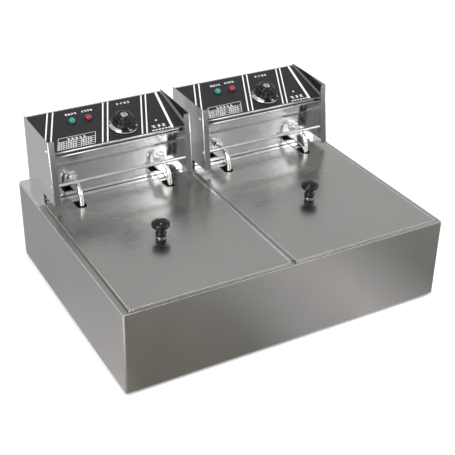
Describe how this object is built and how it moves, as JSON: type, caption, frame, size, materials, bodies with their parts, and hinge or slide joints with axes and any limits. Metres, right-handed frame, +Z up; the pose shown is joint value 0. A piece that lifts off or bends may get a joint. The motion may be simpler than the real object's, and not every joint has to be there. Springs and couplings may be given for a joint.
{
  "type": "countertop deep fryer",
  "caption": "Countertop electric deep fryer: steel casing, side-by-side oil tanks with lift-off lids, each under its own control head with dial, pilot lamps and plunged heater.",
  "frame": {"origin": "on the worktop, under the middle of the casing's plan outline", "axes": "+X to the user's right, -Y towards the user, +Z up"},
  "size_m": [0.57, 0.445, 0.2784],
  "materials": {
    "casing_steel": "brushed stainless sheet",
    "lid_steel": "satin stainless sheet",
    "tank_steel": "satin stainless sheet",
    "head_steel": "polished stainless sheet",
    "bright_steel": "polished",
    "heater_steel": "polished heater sheath",
    "knob_plastic": "gloss black",
    "dial_plastic": "satin black",
    "dial_metal": "turned",
    "panel_film": "printed film",
    "green_lens": "translucent lens",
    "red_lens": "translucent lens",
    "cream_plastic": "moulded",
    "thermostat_body": "plated",
    "bulb_steel": "drawn tube",
    "gland_plastic": "moulded",
    "rubber": "moulded",
    "screw_steel": "plated"
  },
  "bodies": {
    "casing": {"casing_shell": "casing_steel", "base_pan": "casing_steel", "rear_deck": "casing_steel", "centre_bridge": "casing_steel", "rubber_feet": "rubber", "body_screws": "screw_steel"},
    "left_tank_unit": {"left_tank": "tank_steel"},
    "left_head": {"left_head_shell": "head_steel", "left_head_cheek_l": "head_steel", "left_head_cheek_r": "head_steel", "left_rear_cover": "casing_steel", "left_panel_label": "panel_film", "left_green_lamp": "green_lens", "left_red_lamp": "red_lens", "left_thermostat": "thermostat_body", "left_terminal_block": "cream_plastic", "left_heating_element": "heater_steel", "left_element_nuts": "bright_steel", "left_sensor_bulb": "bulb_steel", "left_hanger_rail": "bright_steel", "left_cheek_screws": "screw_steel", "left_cable_gland": "gland_plastic", "left_basket": "bright_steel", "left_basket_frame": "bright_steel"},
    "left_lid_unit": {"left_lid": "lid_steel", "left_lid_knob": "knob_plastic", "left_lid_ferrule": "bright_steel", "left_lid_screw": "screw_steel"},
    "left_dial": {"left_dial_grip": "dial_plastic", "left_dial_skirt": "dial_metal", "left_dial_cap": "dial_metal"},
    "right_tank_unit": {"right_tank": "tank_steel"},
    "right_head": {"right_head_shell": "head_steel", "right_head_cheek_l": "head_steel", "right_head_cheek_r": "head_steel", "right_rear_cover": "casing_steel", "right_panel_label": "panel_film", "right_green_lamp": "green_lens", "right_red_lamp": "red_lens", "right_thermostat": "thermostat_body", "right_terminal_block": "cream_plastic", "right_heating_element": "heater_steel", "right_element_nuts": "bright_steel", "right_sensor_bulb": "bulb_steel", "right_hanger_rail": "bright_steel", "right_cheek_screws": "screw_steel", "right_cable_gland": "gland_plastic", "right_basket": "bright_steel", "right_basket_frame": "bright_steel"},
    "right_lid_unit": {"right_lid": "lid_steel", "right_lid_knob": "knob_plastic", "right_lid_ferrule": "bright_steel", "right_lid_screw": "screw_steel"},
    "right_dial": {"right_dial_grip": "dial_plastic", "right_dial_skirt": "dial_metal", "right_dial_cap": "dial_metal"}
  },
  "joints": [
    {"name": "left_tank_lift", "type": "slide", "parent": "casing", "child": "left_tank_unit", "axis": [0, 0, 1], "range_m": [0, 0.16]},
    {"name": "left_head_lift", "type": "slide", "parent": "left_tank_unit", "child": "left_head", "axis": [0, 0, 1], "range_m": [0, 0.18]},
    {"name": "left_lid_draw", "type": "slide", "parent": "left_head", "child": "left_lid_unit", "axis": [0, -0.9903, 0.1392], "range_m": [0, 0.34]},
    {"name": "left_dial_turn", "type": "hinge", "parent": "left_head", "child": "left_dial", "pos_m": [-0.117, 0.14599, 0.25029], "axis": [0, -0.2419, 0.9703], "range_deg": [-270, 0]},
    {"name": "right_tank_lift", "type": "slide", "parent": "casing", "child": "right_tank_unit", "axis": [0, 0, 1], "range_m": [0, 0.16]},
    {"name": "right_head_lift", "type": "slide", "parent": "right_tank_unit", "child": "right_head", "axis": [0, 0, 1], "range_m": [0, 0.18]},
    {"name": "right_lid_draw", "type": "slide", "parent": "right_head", "child": "right_lid_unit", "axis": [0, -0.9903, 0.1392], "range_m": [0, 0.34]},
    {"name": "right_dial_turn", "type": "hinge", "parent": "right_head", "child": "right_dial", "pos_m": [0.161, 0.14599, 0.25029], "axis": [0, -0.2419, 0.9703], "range_deg": [-270, 0]}
  ]
}
